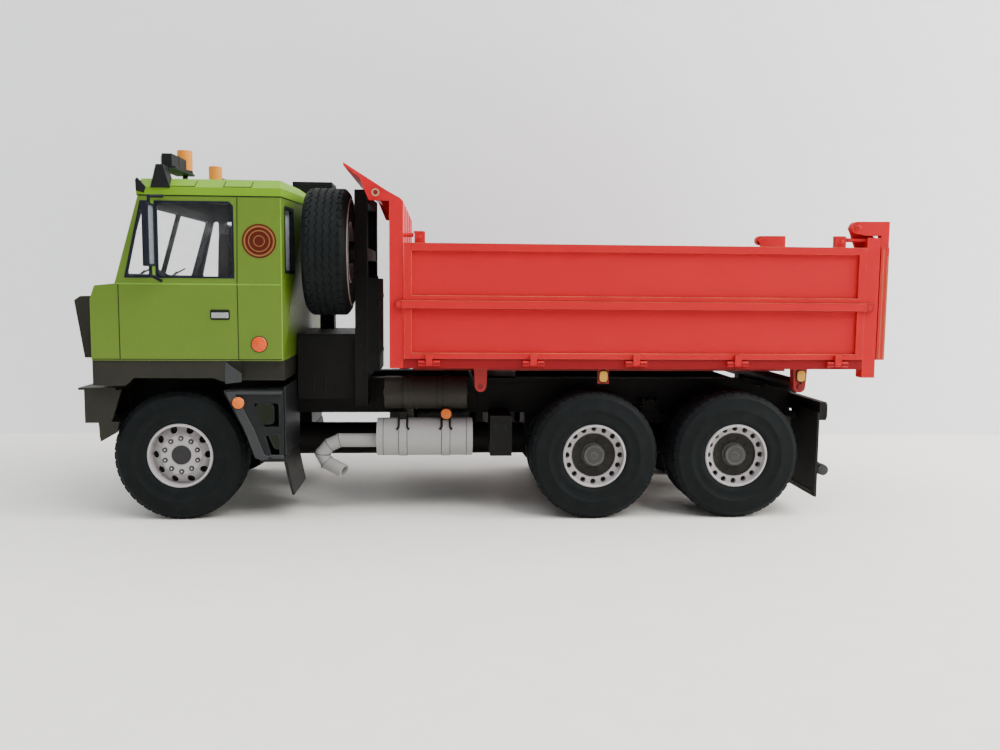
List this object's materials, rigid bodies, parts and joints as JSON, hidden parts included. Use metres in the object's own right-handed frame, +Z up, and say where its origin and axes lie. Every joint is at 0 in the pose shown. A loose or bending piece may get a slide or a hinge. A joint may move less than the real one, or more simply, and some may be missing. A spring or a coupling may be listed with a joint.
{
  "type": "model dump truck",
  "caption": "Card scale model of a cab-over tipper truck that rolls on its wheels, with a tipping bed, drop sides and a top-hung tailgate.",
  "frame": {"origin": "on the floor under the middle of the truck", "axes": "+X to the front of the truck, +Y to its left, +Z up"},
  "size_m": [0.2176, 0.0926, 0.0995],
  "materials": {
    "green_card": "satin printed card",
    "light_green_card": "satin printed card",
    "red_card": "matte coloured card",
    "dark_card": "matte printed card",
    "black_card": "matte printed card",
    "tyre_card": "matte printed card",
    "rim_card": "satin printed card",
    "grey_card": "matte printed card",
    "orange_card": "gloss printed card",
    "clear_film": "clear film",
    "seat_card": "matte printed card"
  },
  "bodies": {
    "chassis": {"frame_rail_left": "black_card", "frame_rail_right": "black_card", "cross_members": "black_card", "backbone_tube": "black_card", "front_axle": "black_card", "mid_axle": "black_card", "rear_axle": "black_card", "rear_springs": "black_card", "cab_shell": "green_card", "cab_roof": "light_green_card", "cab_skirt": "dark_card", "windscreen": "clear_film", "side_glass": "clear_film", "rear_glass": "clear_film", "grille": "dark_card", "bumper": "dark_card", "dashboard": "dark_card", "steering_wheel": "black_card", "seats": "seat_card", "mirror_left": "black_card", "mirror_right": "black_card", "roof_light_bars": "black_card", "beacons": "orange_card", "step_left": "dark_card", "step_right": "dark_card", "mud_flaps": "dark_card", "engine_cover": "black_card", "spare_carrier": "black_card", "spare_tyre": "tyre_card", "spare_rim": "rim_card", "oil_tank": "black_card", "air_intake": "black_card", "muffler": "grey_card", "air_tank": "dark_card", "fuel_tank": "grey_card", "battery_box": "black_card", "rear_lamp_beam": "black_card", "underrun_bar": "black_card", "rear_tip_shaft": "black_card", "front_tip_beam": "black_card", "tip_cylinder": "grey_card"},
    "front_left_wheel": {"tyre_front_left": "tyre_card", "rim_front_left": "rim_card"},
    "front_right_wheel": {"tyre_front_right": "tyre_card", "rim_front_right": "rim_card"},
    "mid_left_wheels": {"tyres_mid_left": "tyre_card", "rim_mid_left": "rim_card"},
    "mid_right_wheels": {"tyres_mid_right": "tyre_card", "rim_mid_right": "rim_card"},
    "rear_left_wheels": {"tyres_rear_left": "tyre_card", "rim_rear_left": "rim_card"},
    "rear_right_wheels": {"tyres_rear_right": "tyre_card", "rim_rear_right": "rim_card"},
    "bed": {"bed_floor": "red_card", "bed_beams": "red_card", "bed_front_wall": "red_card", "bed_rear_posts": "red_card"},
    "left_board": {"side_board_left": "red_card"},
    "right_board": {"side_board_right": "red_card"},
    "rear_gate": {"tailgate": "red_card"}
  },
  "joints": [
    {"name": "front_left_roll", "type": "hinge", "parent": "chassis", "child": "front_left_wheel", "pos_m": [0.081, 0.0307, 0.0174], "axis": [0, 1, 0], "continuous": true},
    {"name": "front_right_roll", "type": "hinge", "parent": "chassis", "child": "front_right_wheel", "pos_m": [0.081, -0.0307, 0.0174], "axis": [0, 1, 0], "continuous": true},
    {"name": "mid_left_roll", "type": "hinge", "parent": "chassis", "child": "mid_left_wheels", "pos_m": [-0.03, 0.0288, 0.0174], "axis": [0, 1, 0], "continuous": true},
    {"name": "mid_right_roll", "type": "hinge", "parent": "chassis", "child": "mid_right_wheels", "pos_m": [-0.03, -0.0288, 0.0174], "axis": [0, 1, 0], "continuous": true},
    {"name": "rear_left_roll", "type": "hinge", "parent": "chassis", "child": "rear_left_wheels", "pos_m": [-0.0692, 0.0288, 0.0174], "axis": [0, 1, 0], "continuous": true},
    {"name": "rear_right_roll", "type": "hinge", "parent": "chassis", "child": "rear_right_wheels", "pos_m": [-0.0692, -0.0288, 0.0174], "axis": [0, 1, 0], "continuous": true},
    {"name": "bed_tip", "type": "hinge", "parent": "chassis", "child": "bed", "pos_m": [-0.0864, 0, 0.0364], "axis": [0, -1, 0], "range_deg": [0, 50]},
    {"name": "left_board_drop", "type": "hinge", "parent": "bed", "child": "left_board", "pos_m": [-0.0405, 0.03985, 0.0428], "axis": [-1, 0, 0], "range_deg": [0, 175]},
    {"name": "right_board_drop", "type": "hinge", "parent": "bed", "child": "right_board", "pos_m": [-0.0405, -0.03985, 0.0428], "axis": [1, 0, 0], "range_deg": [0, 175]},
    {"name": "rear_gate_swing", "type": "hinge", "parent": "bed", "child": "rear_gate", "pos_m": [-0.0999, 0, 0.0796], "axis": [0, 1, 0], "range_deg": [0, 75]}
  ]
}
